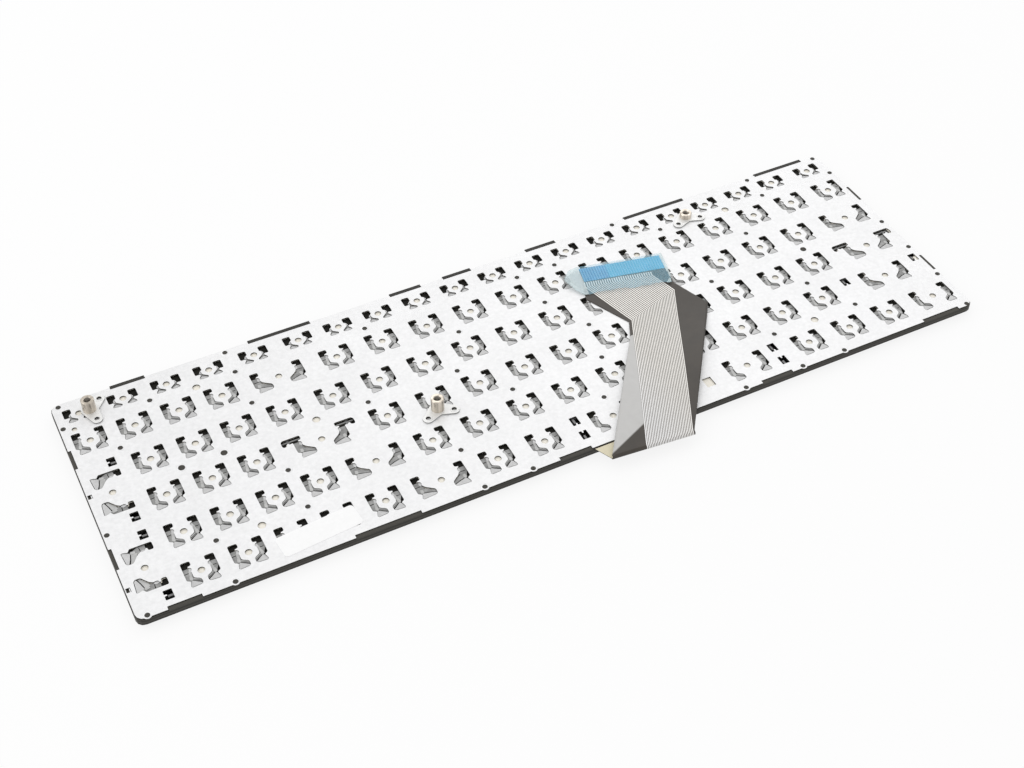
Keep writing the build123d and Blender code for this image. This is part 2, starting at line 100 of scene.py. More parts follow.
# What shows in a window, with each corner's drop under the back: feet, catch, link panel, leg, rib and knob
FOOT = [(5.1, -5.7, 0.05), (1.75, -5.5, 0.05), (1.15, -5.05, 0.1), (2.8, -3.75, 0.3), (4.0, -2.85, 0.35),
        (4.6, -3.2, 0.3), (5.1, -4.6, 0.15)]
WIDE_FOOT = [(5.1, -5.5, 0.05), (0.05, -5.1, 0.05), (-0.55, -4.3, 0.1), (1.6, -3.4, 0.3), (4.0, -2.75, 0.35),
             (4.6, -3.2, 0.3), (5.1, -4.6, 0.15)]
LOW_FOOT = [(4.45, -3.4, 0.05), (2.25, -3.65, 0.05), (1.3, -3.3, 0.1), (2.0, -2.6, 0.3), (3.4, -1.9, 0.35),
            (4.2, -2.5, 0.3)]
CATCH = [(2.75, 2.4, 0.2), (3.7, 2.7, 0.25), (4.0, 1.5, 0.35), (3.4, 0.6, 0.35), (2.8, 1.4, 0.2)]
LOW_CATCH = [(2.7, 0.8, 0.2), (3.4, 0.8, 0.2), (3.9, 0.0, 0.4), (3.1, -0.7, 0.4)]
KNOB = level(0.3, (3.6, -1.0), (4.6, -0.8), (4.9, -2.3), (4.2, -2.8), (3.6, -2.3))
PANEL = [(2.7, 2.9, 0.55), (6.3, 2.8, 0.55), (6.3, -2.6, 0.5), (4.3, -3.1, 0.45), (2.9, -1.9, 0.5)]
FAR_PANEL = [(2.7, 2.9, 0.55), (6.5, 2.8, 0.55), (6.5, 1.1, 0.5), (5.2, 0.6, 0.5), (4.7, -2.2, 0.45),
             (4.3, -3.1, 0.45), (2.9, -1.9, 0.5)]
BAND = level(0.42, (3.1, 1.3), (4.2, 1.5), (4.4, -0.8), (3.5, -1.0))
GROOVE = level(0.5, (2.9, 1.05), (6.4, 0.85), (6.4, 0.55), (2.9, 0.75))
LEG = level(0.45, (3.5, -1.6), (3.1, -2.0), (0.8, -3.5), (0.8, -4.5), (2.7, -3.2), (4.0, -2.4))
WIDE_LEG = [(3.5, -0.4, 0.4), (2.3, -0.8, 0.45), (-0.8, -2.95, 0.45), (-0.9, -3.9, 0.4), (1.6, -3.0, 0.35),
            (4.2, -2.3, 0.35)]
LOW_LEG = level(0.5, (3.2, -0.3), (3.0, -1.1), (1.0, -2.7), (1.2, -2.9), (3.5, -1.6), (4.1, -0.5))
RIB = level(0.2, (3.2, -1.8), (3.2, -2.1), (1.0, -3.45), (1.0, -3.85), (1.3, -3.7), (3.5, -2.3))
WING_ROD = level(0.9, *box_points(2.5, 5.0, 9.9, 4.4))
HOOKS = {"plain": (FOOT, CATCH), "wide": (WIDE_FOOT, CATCH), "tall": (WIDE_FOOT, CATCH),
         "winged": (WIDE_FOOT, CATCH), "low": (LOW_FOOT, LOW_CATCH)}
LINKS = {"plain": (PANEL, LEG), "wide": (PANEL, WIDE_LEG), "tall": (PANEL,),
         "winged": (PANEL, WIDE_LEG, WING_ROD), "low": (LOW_LEG,)}
RIBS = {"plain": (RIB, KNOB, BAND), "wide": (KNOB,), "tall": (WIDE_LEG, KNOB), "winged": (KNOB,), "low": ()}
WELL = level(1.0, *box_points(0.7, 5.9, 6.4, -6.3))
WIDE_WELL = level(1.0, *box_points(-1.1, 5.9, 6.4, -6.3))
WING_WELL = level(1.2, *box_points(6.4, 6.0, 10.6, 1.9))
LOW_WELL = level(1.0, *box_points(0.9, 3.9, 6.1, -4.2))
WELLS = {"plain": (WELL, GROOVE), "wide": (WIDE_WELL, GROOVE), "tall": (WIDE_WELL, GROOVE),
         "winged": (WIDE_WELL, WING_WELL), "low": (LOW_WELL,)}
BAR_TAB = [(0.0, 0.35), (0.8, 0.35), (1.1, 0.0), (0.8, -0.3), (0.0, -0.35)]
BAR_CORNER = 0.25

# Thickness of the strips in the windows, and how far they stay clear of the back
HOOK_THICK, LINK_THICK, RIB_THICK, WELL_THICK, STRIP_CLEAR = 0.3, 0.25, 0.15, 0.2, 0.06

# Tail of the switch sheet in plate millimetres: fold, sides from the fold on, and the lines of its traces
CREASE_NUMPAD, CREASE_ESC = (2.71, -61.96), (35.69, -64.84)
CREASE_ANGLE = -5.0
EXIT_HEADING = 115.0
EXIT_BACKS = (11.5, 8.0, 4.0, 1.0)
FOLD_RADIUS = 0.9
TAIL_THICK = 0.2
NUMPAD_SIDE = [CREASE_NUMPAD, (40.0, -10.3), (43.9, -2.5), (35.2, 16.7), (38.6, 26.3), (41.4, 34.2)]
ESC_SIDE = [CREASE_ESC, (72.7, -14.2), (77.8, -6.8), (71.8, 10.3), (73.7, 18.97), (75.4, 26.8)]
TRACE_NUMPAD = [(16.1, -63.13), (41.3, -10.2), (45.1, -2.3), (38.2, 23.6), (39.0, 26.2), (41.9, 34.1)]
TRACE_ESC = [(35.2, -64.8), (61.6, -11.0), (70.0, 6.0), (66.7, 17.4), (67.2, 19.6), (69.2, 28.1)]
HEAD_CENTRE = (58.4, 30.5)
HEAD_ANGLE = -12.3
FILM_NUMPAD = [(-18.5, -1.2), (-22.8, 1.5), (-25.1, 5.5), (-24.0, 10.0), (-21.4, 14.0), (-19.1, 16.0)]
FILM_ESC = [(18.2, -1.2), (18.1, 3.0), (18.0, 7.0), (17.8, 10.5), (17.4, 14.0), (14.4, 17.4)]
STIFFENER_HALF, STIFFENER_DEPTH = 17.4, 8.0

# Where colours change on the tail: dark corner with its heading, the painted highlight on the traces and
# their bed, and the blue end with its lines
DARK_CORNER = (-58.2, -57.6, 112.8)
TRACE_HIGHLIGHT_SPAN = (24.0, 40.0)
STIFFENER_SHADE = (43.9, 44.3, HEAD_ANGLE)
STIFFENER_LINE_PITCH, STIFFENER_LINE_SHARE = 1.1, 0.6
# Frame: darker lines across its height, painted shade of the steps of its lip
FRAME_SHADE_PITCH, FRAME_SHADE_SHARE = 1.5, 0.8
FLAT_ALPHA, LOOSE_ALPHA = 0.2, 0.5

# Camera relative to the middle of the plate's back, with its lens
CAMERA_PLACE = (-197.5, -380.4, 412.4)
CAMERA_FORWARD = (0.31725, 0.63159, -0.70742)
CAMERA_RIGHT = (0.89256, -0.45091, -0.00230)
CAMERA_LENS = 54.21
SENSOR_WIDTH = 36.0
CLIP_START, CLIP_END = 0.01, 50.0

# Stage in metres: floor, its share of white, sky as light and as seen, lamps with place, width and power
FLOOR_WIDTH, FLOOR_GAP, FLOOR_GREY, FLOOR_WHITE = 12, 0.05 * MM, 0.9, 0.86
SKY_LIGHT, SKY_SEEN = 0.75, 1.0
LAMPS = [("key_light", (0.7, 0.75, 1.0), 1.2, 3.5), ("fill_light", (-0.8, 0.3, 1.0), 1.2, 4.5)]

# Heat stakes in rows, locating holes with their diameters, small windows and rivets, in plate millimetres
STAKE_ROWS = [
    (53.3, (-169.0, -103.7, 67.7, 135.2, 169.4)),
    (41.5, (-170.3, -137.4, -103.7, -50.2, 16.8, 34.0, 84.3, 135.2, 170.3)),
    (23.0, (-154.2, -103.7, -18.1, 19.9, 115.0)),
    (3.6, (-64.8, -28.0, 29.3, 85.9, 170.3)),
    (-14.8, (-170.3, -103.7, -13.6, 24.8, 119.8, 170.3)),
    (-34.0, (-137.4, -103.7, -44.3, 15.1, 91.2, 129.6, 170.3)),
    (-53.8, (-168.0, -137.4, -44.3, -25.0, 65.4, 91.1, 110.3, 169.4))]
BROAD_STAKES = [(-137.4, 3.6), (-121.4, 3.6), (130.5, 3.6)]
BROAD_STAKE = 1.3
EDGE_STAKE = 169.0
HOLES = [(-119.6, 40.2, 3.0), (-121.0, -34.7, 3.0), (-85.4, 4.0, 3.0), (115.7, 40.4, 3.0),
         (110.0, -34.2, 3.0), (-166.6, 39.6, 2.0)]
SLOTS = [(-170.6, 4.8, 1.6, 2.0), (-170.6, -41.1, 1.6, 2.0), (54.4, -45.0, 3.6, 4.6)]
# Stake head and seat as (share of the stake's radius, lift over the back in millimetres)
STAKE_HEAD = [(1.0, 0.03), (0.8, 0.1), (0.55, 0.02), (0.0, 0.02)]
STAKE_SEAT = [(1.0, 0.0), (1.6, 0.0), (1.5, 0.06), (1.3, 0.02), (1.0, 0.01), (1.0, 0.0)]
HEAD_STEPS, SEAT_STEPS, RIVET_STEPS = 20, 24, 28
RIVETS = [(-154.07, 50.52), (-157.7, 40.56), (-37.87, -14.7), (-48.47, -14.8), (103.23, 40.6), (92.63, 40.5)]


def length_value(name, description, millimetres):
    """A length that a user can change."""
    return bpy.props.FloatProperty(
        name=name, description=description, default=millimetres * MM, min=0.0, precision=5, unit="LENGTH")


def colour_value(name, description, default):
    """A colour that a user can change."""
    return bpy.props.FloatVectorProperty(name=name, description=description, subtype="COLOR", default=default)


class KeyboardSizes(bpy.types.PropertyGroup):
    """Sizes that the looks are made from."""
    corner: length_value("Window corner", "Rounding of the window corners", 0.65)
    sheet_edge: length_value("Sheet edge", "Broken edge of the stamped sheet", 0.04)
    vent: length_value("Vent", "Diameter of the hole over each dome", 2.6)
    stake: length_value("Heat stake", "Diameter of a heat stake's head", 2.0)
    rivet: length_value("Rivet bore", "Diameter of the bore in a flange's ear", 2.1)
    traces: bpy.props.IntProperty(
        name="Traces", description="Number of silver traces on the tail", default=30, min=2)
    key_edge: length_value("Key edge", "Rounding of the keycap edges", 0.35)


class KeyboardColours(bpy.types.PropertyGroup):
    """Colours of the finishes."""
    plate: colour_value("Plate", "Satin metal of the back", (0.82, 0.82, 0.825))
    # painted shade: a near-black colour on the plate's upright sides and the rivet walls stands for the shade
    # on them
    side_shade: colour_value("Cut edge", "Sheared edges of the plate", (0.06, 0.058, 0.05))
    # painted shade: the hooks are the plate's own steel, given a darker grey than the plate for the shade
    # deep in the windows
    hook: colour_value("Hook", "Bent metal in the windows", (0.56, 0.56, 0.56))
    link: colour_value("Link", "Grey plastic of the key links", (0.325, 0.325, 0.32))
    well: colour_value("Well", "Dark plastic deep in the windows", (0.016, 0.0155, 0.013))
    moulding: colour_value("Moulding", "Dark frame between the keys", (0.05, 0.047, 0.039))
    keycap: colour_value("Keycap", "Moulded keys", (0.018, 0.018, 0.017))
    film: colour_value("Tail film", "Dark film of the tail", (0.046, 0.038, 0.03))
    margin: colour_value("Tail margin", "Grey margin beside the traces", (0.53, 0.525, 0.515))
    bed: colour_value("Trace bed", "Film between the traces", (0.1, 0.08, 0.06))
    # painted highlight: the paler bed and traces towards the numpad side stand in for a lamp's reflection on
    # the glossy tail
    bed_highlight: colour_value("Pale trace bed", "Film between the traces at the grey margin", (0.13, 0.11, 0.09))
    trace: colour_value("Trace", "Silver print on the tail", (0.92, 0.9, 0.86))
    trace_highlight: colour_value("Pale trace", "Silver print at the grey margin", (0.95, 0.95, 0.95))
    sheet: colour_value("Switch sheet", "Milky film under the plate", (0.97, 0.92, 0.82))
    stiffener: colour_value("Stiffener", "Blue end of the tail", (0.0, 0.24, 0.58))
    stiffener_light: colour_value("Light stiffener", "Lighter share of the blue end", (0.02, 0.45, 0.72))
    stiffener_pale: colour_value("Stiffener lines", "Pale lines on the blue end", (0.22, 0.62, 0.85))
    clear: colour_value("Cover film", "Clear film over the tail's end", (0.78, 0.92, 0.97))
    clear_flat: colour_value("Flat cover film", "Clear film where it lies on the tail", (0.36, 0.68, 0.84))
    pillar: colour_value("Pillar", "Nickel of the standoffs", (0.72, 0.65, 0.56))
    flange: colour_value("Flange", "Steel of the flanges", (0.82, 0.82, 0.81))
    bar: colour_value("Bar", "Wire of the stabilizer bars", (0.2, 0.2, 0.2))
    tape: colour_value("Tape", "Cream tape at the fold", (0.72, 0.66, 0.48))
    label: colour_value("Label", "Blank paper label", (0.95, 0.95, 0.95))


def sizes():
    """The scene's keyboard sizes."""
    return bpy.context.scene.keyboard_sizes


def colours():
    """The scene's keyboard colours."""
    return bpy.context.scene.keyboard_colours


def on_plate(x, y):
    """A point given in plate millimetres, in the frame's metres."""
    return plate_middle.x + x * MM, plate_middle.y + y * MM


def add_noise(tree, grain, stretch=(1, 1, 1)):
    """A noise in object space; grain is its number of waves per metre."""
    place = tree.nodes.new("ShaderNodeTexCoord")
    scale = tree.nodes.new("ShaderNodeMapping")
    scale.inputs["Scale"].default_value = stretch
    tree.links.new(place.outputs["Object"], scale.inputs["Vector"])
    speckle = tree.nodes.new("ShaderNodeTexNoise")
    speckle.inputs["Scale"].default_value = grain
    speckle.inputs["Detail"].default_value = NOISE_DETAIL
    tree.links.new(scale.outputs["Vector"], speckle.inputs["Vector"])
    return speckle.outputs["Fac"]


def add_ramp(tree, value, low, high, span=(0.3, 0.7)):
    """Colour from low to high as the value crosses the span."""
    ramp = tree.nodes.new("ShaderNodeValToRGB")
    for stop, colour, position in zip(ramp.color_ramp.elements, (low, high), span):
        stop.color = (*colour, 1)
        stop.position = position
    tree.links.new(value, ramp.inputs["Fac"])
    return ramp.outputs["Color"]


def add_blend(tree, mode, share, a, b):
    """Two colours blended; share is a number or a socket."""
    mix = tree.nodes.new("ShaderNodeMix")
    mix.data_type = "RGBA"
    mix.blend_type = mode
    if isinstance(share, float):
        mix.inputs["Factor"].default_value = share
    else:
        tree.links.new(share, mix.inputs["Factor"])
    tree.links.new(a, mix.inputs["A"])
    tree.links.new(b, mix.inputs["B"])
    return mix.outputs["Result"]


def scaled(colour, by):
    """The colour made darker or lighter."""
    return [by * c for c in colour]


def shades(colour, spread):
    """A darker and a lighter tone of the colour."""
    return [c * (1 - spread) for c in colour], [min(1.0, c * (1 + spread)) for c in colour]


def finish(name, colour, roughness, metallic=0.0, grain=600.0, spread=0.04, bump=0.05, stretch=(1, 1, 1),
           mottle=40.0, specular=0.5):
    """A finish with a fine grain in colour, gloss and relief, and broad soft patches."""
    made = bpy.data.materials.get(name)
    if made:
        return made
    made = bpy.data.materials.new(name)
    made.use_nodes = True
    tree = made.node_tree
    shader = tree.nodes["Principled BSDF"]
    shader.inputs["Metallic"].default_value = metallic
    shader.inputs["Specular IOR Level"].default_value = specular
    fine = add_noise(tree, grain, stretch)
    broad = add_noise(tree, mottle)
    tint = add_ramp(tree, fine, *shades(colour, spread))
    patches = add_ramp(tree, broad, (1 - spread, 1 - spread, 1 - spread), (1, 1, 1))
    tree.links.new(add_blend(tree, "MULTIPLY", 1.0, tint, patches), shader.inputs["Base Color"])
    gloss = tree.nodes.new("ShaderNodeMapRange")
    gloss.inputs["To Min"].default_value = roughness * (1 - GLOSS_SPREAD)
    gloss.inputs["To Max"].default_value = roughness * (1 + GLOSS_SPREAD)
    tree.links.new(fine, gloss.inputs["Value"])
    tree.links.new(gloss.outputs["Result"], shader.inputs["Roughness"])
    relief = tree.nodes.new("ShaderNodeBump")
    relief.inputs["Strength"].default_value = bump
    relief.inputs["Distance"].default_value = RELIEF_DEPTH * MM
    tree.links.new(fine, relief.inputs["Height"])
    tree.links.new(relief.outputs["Normal"], shader.inputs["Normal"])
    return made


def overlay(made, share, second, grain, spread):
    """Blends a second colour over a finish by a share."""
    tree = made.node_tree
    base = tree.nodes["Principled BSDF"].inputs["Base Color"]
    other = add_ramp(tree, add_noise(tree, grain), *shades(second, spread))
    tree.links.new(add_blend(tree, "MIX", share, base.links[0].from_socket, other), base)
    return made


def graded(made, second, start, end, heading=0.0):
    """Lets a finish pass into a second colour between two places along a heading, in plate millimetres."""
    tree = made.node_tree
    place = tree.nodes.new("ShaderNodeTexCoord")
    way = Vector((cos(radians(heading)), sin(radians(heading)), 0))
    far = tree.nodes.new("ShaderNodeVectorMath")
    far.operation = "DOT_PRODUCT"
    far.inputs[1].default_value = way
    tree.links.new(place.outputs["Object"], far.inputs[0])
    share = tree.nodes.new("ShaderNodeMapRange")
    middle = plate_middle.xy.dot(way.xy)
    share.inputs["From Min"].default_value = middle + start * MM
    share.inputs["From Max"].default_value = middle + end * MM
    tree.links.new(far.outputs["Value"], share.inputs["Value"])
    return overlay(made, share.outputs["Result"], second, grain=300.0, spread=0.03)


def lined(made, second, pitch, angle, share, direction="X"):
    """Lays fine parallel lines of a second colour over a finish; pitch in metres."""
    tree = made.node_tree
    place = tree.nodes.new("ShaderNodeTexCoord")
    turn = tree.nodes.new("ShaderNodeMapping")
    turn.inputs["Rotation"].default_value = (0, 0, -radians(angle))
    tree.links.new(place.outputs["Object"], turn.inputs["Vector"])
    wave = tree.nodes.new("ShaderNodeTexWave")
    wave.bands_direction = direction
    wave.inputs["Scale"].default_value = WAVE_SCALE / pitch
    wave.inputs["Distortion"].default_value = 0.6
    wave.inputs["Detail"].default_value = 2.0
    tree.links.new(turn.outputs["Vector"], wave.inputs["Vector"])
    grey = add_ramp(tree, wave.outputs["Fac"], (0, 0, 0), (share, share, share), LINE_SPAN)
    return overlay(made, grey, second, grain=250.0, spread=0.06)


def see_through(made, alpha):
    """Lets light through a finish."""
    made.node_tree.nodes["Principled BSDF"].inputs["Alpha"].default_value = alpha
    return made


def dress(obj, *materials):
    """Gives an object its finishes."""
    if obj.data.materials:
        obj.data.materials.clear()
    for material in materials:
        obj.data.materials.append(material)


def new_object(name, data):
    """A new object in the scene."""
    obj = bpy.data.objects.new(name, data)
    bpy.context.scene.collection.objects.link(obj)
    return obj


def piece(name, mesh, slot, *materials):
    """A new piece on the keyboard's base."""
    obj = new_object(name, mesh)
    dress(obj, *materials)
    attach(obj, BASE)
    return obj


def thicken(obj, thickness):
    """Gives a surface its thickness, half to each side."""
    layer = obj.modifiers.new("thickness", "SOLIDIFY")
    layer.thickness = thickness
    layer.offset = 0.0


def rounded(points, radius, steps=3):
    """The polygon with each corner turned into a short arc."""
    out = []
    count = len(points)
    most = 0.45
    for k in range(count):
        corner = Vector(points[k])
        before, after = Vector(points[k - 1]) - corner, Vector(points[(k + 1) % count]) - corner
        reach = min(radius, most * before.length, most * after.length)
        start, end = corner + before.normalized() * reach, corner + after.normalized() * reach
        for n in range(steps + 1):
            t = n / steps
            out.append(tuple(start * (1 - t) ** 2 + corner * 2 * t * (1 - t) + end * t ** 2))
    return out


def ring(x, y, radius, steps=24):
    """Points round a circle."""
    angles = [2 * pi * k / steps for k in range(steps)]
    return [(x + radius * cos(angle), y + radius * sin(angle)) for angle in angles]


def rectangle(x, y, width, depth):
    """Corners of a rectangle round its middle."""
    return [(x + u * width / 2, y + v * depth / 2) for u, v in ((-1, -1), (1, -1), (1, 1), (-1, 1))]


def sheet_mesh(name, outlines, low, height, edge):
    """A stamped flat sheet with holes and broken edges."""
    curve = bpy.data.curves.new(name, "CURVE")
    curve.dimensions = "2D"
    curve.fill_mode = "BOTH"
    curve.extrude = height / 2 - edge
    curve.bevel_depth = edge
    curve.bevel_resolution = 0
    curve.offset = -edge
    for outline in outlines:
        spline = curve.splines.new("POLY")
        spline.points.add(len(outline) - 1)
        for point, (x, y) in zip(spline.points, outline):
            point.co = (x, y, 0, 1)
        spline.use_cyclic_u = True
    holder = new_object(name, curve)
    bpy.context.view_layer.update()
    mesh = bpy.data.meshes.new_from_object(holder.evaluated_get(bpy.context.evaluated_depsgraph_get()))
    mesh.transform(Matrix.Translation((0, 0, low + height / 2)))
    bpy.data.objects.remove(holder)
    bpy.data.curves.remove(curve)
    return mesh


def upright(face):
    """True for a face that stands steeply."""
    return abs(face.normal.z) < UPRIGHT


def shade_sides(mesh):
    """Gives the upright faces of a sheet its second finish, a darker colour that is painted shade."""
    for face in mesh.polygons:
        face.material_index = 1 if upright(face) else 0


def solid_boxes(node):
    """Boxes (low, high) of the separate solids in one CAD node."""
    mesh = frame["nodes"][node].data
    keys = [tuple(round(c / MM, 2) for c in v.co) for v in mesh.vertices]
    group = {k: k for k in keys}

    def root(k):
        while group[k] != k:
            k = group[k]
        return k

    for face in mesh.polygons:
        first = root(keys[face.vertices[0]])
        for v in face.vertices[1:]:
            group[root(keys[v])] = first
    found = {}
    for k in group:
        found.setdefault(root(k), []).append(k)
    return [([min(c) * MM for c in zip(*ks)], [max(c) * MM for c in zip(*ks)]) for ks in found.values()]


def flat_loops(node, top):
    """Closed outlines of a CAD node's upward face at the given height, the widest one last."""
    mesh = frame["nodes"][node].data
    used = {}
    level_enough, near = 0.9, 0.01 * MM
    for face in mesh.polygons:
        if face.normal.z > level_enough and abs(face.center.z - top) < near:
            corners = [tuple(round(c / MM, 3) for c in mesh.vertices[v].co[:2]) for v in face.vertices]
            used.update(dict.fromkeys(zip(corners, corners[1:] + corners[:1])))
    after = {a: b for a, b in used if (b, a) not in used}
    loops = []
    while after:
        first, point = after.popitem()
        loop = [first]
        while point != first:
            loop.append(point)
            point = after.pop(point)
        loops.append(straightened(loop))
    return sorted(loops, key=lambda loop: max(p[0] for p in loop) - min(p[0] for p in loop))


def straightened(loop):
    """The outline without the points that lie on a straight run."""
    kept = []
    straight = 1e-3
    for k, point in enumerate(loop):
        a, b = Vector(loop[k - 1]) - Vector(point), Vector(loop[(k + 1) % len(loop)]) - Vector(point)
        if abs(a.x * b.y - a.y * b.x) > straight:
            kept.append((point[0] * MM, point[1] * MM))
    return kept


def key_nodes():
    """Names of the CAD nodes that hold keycaps."""
    return [name for name in sorted(frame["nodes"]) if name.startswith("keycap_") or name in KEY_GROUPS]


def key_places():
    """Middle of every keycap in metres and its size in millimetres, from the CAD."""
    places = []
    for name in key_nodes():
        for low, high in solid_boxes(name):
            middle = (low[0] + high[0]) / 2, (low[1] + high[1]) / 2
            places.append((*middle, (high[0] - low[0]) / MM, (high[1] - low[1]) / MM))
    return places


def switch_places():
    """Every switch as (x, y, spread, kind)."""
    switches = []
    low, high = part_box("keycap_a")
    home_row = (low.y + high.y) / 2
    for x, y, width, depth in key_places():
        if width > SPACE_CAP:
            for side in (-1, 1):
                switches.append((x + side * SPACE_SWITCH_OFFSET * MM, y, BROAD_SPREAD, "plain"))
        elif depth > TALL_CAP:
            switches.append((x, y, WIDE_SPREAD, "tall"))
        elif width > WIDE_CAP:
            switches.append((x, y, WIDE_SPREAD, "winged" if abs(y - home_row) < MM else "wide"))
        else:
            spread = BROAD_SPREAD if width > BROAD_CAP else 0.0
            switches.append((x, y, spread, "low" if depth < SHALLOW_CAP else "plain"))
    return switches


def lay(switch, side, points):
    """Points of one half of a switch, laid out on the plate; a third number is kept."""
    x0, y0, spread, kind = switch
    out = []
    for x, y, *drop in points:
        px, py = side * (x + spread), y
        if kind == "tall":
            px, py = py, -px
        out.append((x0 + px * MM, y0 + py * MM, *drop))
    return out


def switch_windows(switch):
    """Outlines of the two windows of one switch."""
    return [rounded(lay(switch, side, WINDOWS[switch[3]]), sizes().corner) for side in (-1, 1)]


def bar_windows(loops):
    """The plate's square windows over the stabilizer bars, each with a hook tab on its key's side."""
    keys = key_places()
    outlines = []
    for loop in loops:
        if len(loop) != 4:
            continue
        low, high = [min(c) for c in zip(*loop)], [max(c) for c in zip(*loop)]
        middle = [(a + b) / 2 for a, b in zip(low, high)]
        key = min(keys, key=lambda k: max(abs(k[n] - middle[n]) - k[n + 2] * MM / 2 for n in (0, 1)))
        axis = 0 if abs(key[0] - middle[0]) < abs(key[1] - middle[1]) else 1
        other = 1 - axis
        way = 1 if middle[axis] > key[axis] else -1
        edge, far = (low[axis], high[axis]) if way > 0 else (high[axis], low[axis])
        outline = [(edge, low[other]), (far, low[other]), (far, high[other]), (edge, high[other])]
        outline += [(edge + way * u * MM, middle[other] + v * MM) for u, v in BAR_TAB]
        if axis == 1:
            outline = [(b, a) for a, b in outline]
        outlines.append(rounded(outline, BAR_CORNER * MM))
    return outlines


def grown(points, by):
    """The polygon pushed away from its middle, in millimetres."""
    xs, ys = [p[0] for p in points], [p[1] for p in points]
    middle = Vector(((min(xs) + max(xs)) / 2, (min(ys) + max(ys)) / 2))
    fx = 1 + 2 * by * MM / (max(xs) - min(xs))
    fy = 1 + 2 * by * MM / (max(ys) - min(ys))
    return [(middle.x + (x - middle.x) * fx, middle.y + (y - middle.y) * fy) for x, y in points]


def add_sloped(build, points, thick):
    """Adds a strip whose corners hang at their own drop under the plate's back."""
    upper = [build.verts.new((x, y, plate_top - (STRIP_CLEAR + drop) * MM)) for x, y, drop in points]
    lower = [build.verts.new((x, y, plate_top - (STRIP_CLEAR + drop + thick) * MM)) for x, y, drop in points]
    area = sum(points[k - 1][0] * points[k][1] - points[k][0] * points[k - 1][1] for k in range(len(points)))
    if area < 0:
        upper.reverse()
        lower.reverse()
    top = build.faces.new(upper)
    under = build.faces.new(lower[::-1])
    bmesh.ops.triangulate(build, faces=[top, under])
    for k in range(len(upper)):
        build.faces.new((upper[k - 1], lower[k - 1], lower[k], upper[k]))


def turn_profile(build, x, y, profile, steps=48):
    """Turns a profile of (radius, height) round an upright axis."""
    rings = []
    for radius, z in profile:
        places = ring(x, y, radius, steps) if radius else [(x, y)]
        rings.append([build.verts.new((px, py, z)) for px, py in places])
    for a, b in zip(rings, rings[1:]):
        for k in range(steps):
            corners = [a[k % len(a)], a[(k + 1) % len(a)], b[(k + 1) % len(b)], b[k % len(b)]]
            build.faces.new(list(dict.fromkeys(corners)))


def finished_mesh(name, build, smooth=False):
    """A mesh from its built faces, smooth between sharp edges if asked."""
    bmesh.ops.recalc_face_normals(build, faces=build.faces)
    mesh = bpy.data.meshes.new(name)
    build.to_mesh(mesh)
    build.free()
    if smooth:
        mesh.shade_smooth()
        mesh.set_sharp_from_angle(angle=radians(SHARP_ANGLE))
    return mesh


def grid_mesh(name, rows):
    """A smooth surface over rows of points."""
    wide = len(rows[0])
    points = [p for row in rows for p in row]
    faces = [(r * wide + c, r * wide + c + 1, (r + 1) * wide + c + 1, (r + 1) * wide + c)
             for r in range(len(rows) - 1) for c in range(wide - 1)]
    mesh = bpy.data.meshes.new(name)
    mesh.from_pydata(points, [], faces)
    mesh.shade_smooth()
    return mesh


class KEYBOARD_OT_plate(bpy.types.Operator):
    """Stamped metal back with its windows, vents and holes"""
    bl_idname = "keyboard.plate"
    bl_label = "Back Plate"

    def execute(self, context):
        size, tint = sizes(), colours()
        loops = flat_loops("base_plate", plate_top)
        outlines = [loops[-1]] + bar_windows(loops[:-1])
        for switch in switch_places():
            outlines += switch_windows(switch)
            outlines.append(ring(switch[0], switch[1], size.vent / 2))
        outlines += [ring(*on_plate(x, y), across / 2 * MM) for x, y, across in HOLES]
        outlines += [ring(*on_plate(x, y), size.rivet / 2) for x, y in RIVETS]
        outlines += [rectangle(*on_plate(x, y), w * MM, d * MM) for x, y, w, d in SLOTS]
        mesh = sheet_mesh("back_plate", outlines, plate_low, plate_top - plate_low, size.sheet_edge)
        shade_sides(mesh)
        metal = finish("satin_plate", tint.plate, roughness=0.45, metallic=0.3,
                       grain=700.0, spread=0.05, bump=0.12)
        # painted shade on the upright sides of the windows, holes and rim
        edge = finish("side_painted_shade", tint.side_shade, roughness=0.6, grain=900.0, spread=0.2, specular=0.2)
        plate = piece("back_plate", mesh, "plate", metal, edge)
        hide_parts("base_plate")
        return {"FINISHED"}


class KEYBOARD_OT_hooks(bpy.types.Operator):
    """Feet and catches bent down in the windows, and the key links behind them"""
    bl_idname = "keyboard.hooks"
    bl_label = "Hooks and Links"

    def execute(self, context):
        tint = colours()
        # painted shade: the hooks take a darker grey than the plate they are bent from
        metal = finish("bent_metal_painted_shade", tint.hook, roughness=0.5, metallic=0.3, grain=900.0, spread=0.08)
        grey = finish("link_plastic", tint.link, roughness=0.45, grain=500.0, spread=0.28, mottle=350.0)
        # painted highlight: ribs, knob and band take the link plastic made 1.6 times lighter, for the light
        # falling on them
        pale = finish("link_rib_painted_highlight", scaled(tint.link, 1.6), roughness=0.4, grain=500.0, spread=0.15)
        dark = finish("well_plastic", tint.well, roughness=0.6, grain=700.0, spread=0.2, specular=0.08)
        self.layer("lanced_hooks", HOOKS, HOOK_THICK, metal, "plate")
        self.layer("key_links", LINKS, LINK_THICK, grey, "keycap")
        self.layer("link_ribs", RIBS, RIB_THICK, pale, "keycap")
        self.layer("key_wells", WELLS, WELL_THICK, dark, "keycap")
        return {"FINISHED"}

    def layer(self, name, shapes, thick, material, slot):
        """One kind of strip in every window; on the far side the panel leaves a gap."""
        build = bmesh.new()
        for switch in switch_places():
            for side in (-1, 1):
                far = (side > 0) != (switch[3] == "tall")
                for shape in shapes[switch[3]]:
                    shown = FAR_PANEL if far and shape is PANEL else shape
                    add_sloped(build, lay(switch, side, shown), thick)
        piece(name, finished_mesh(name, build), slot, material)


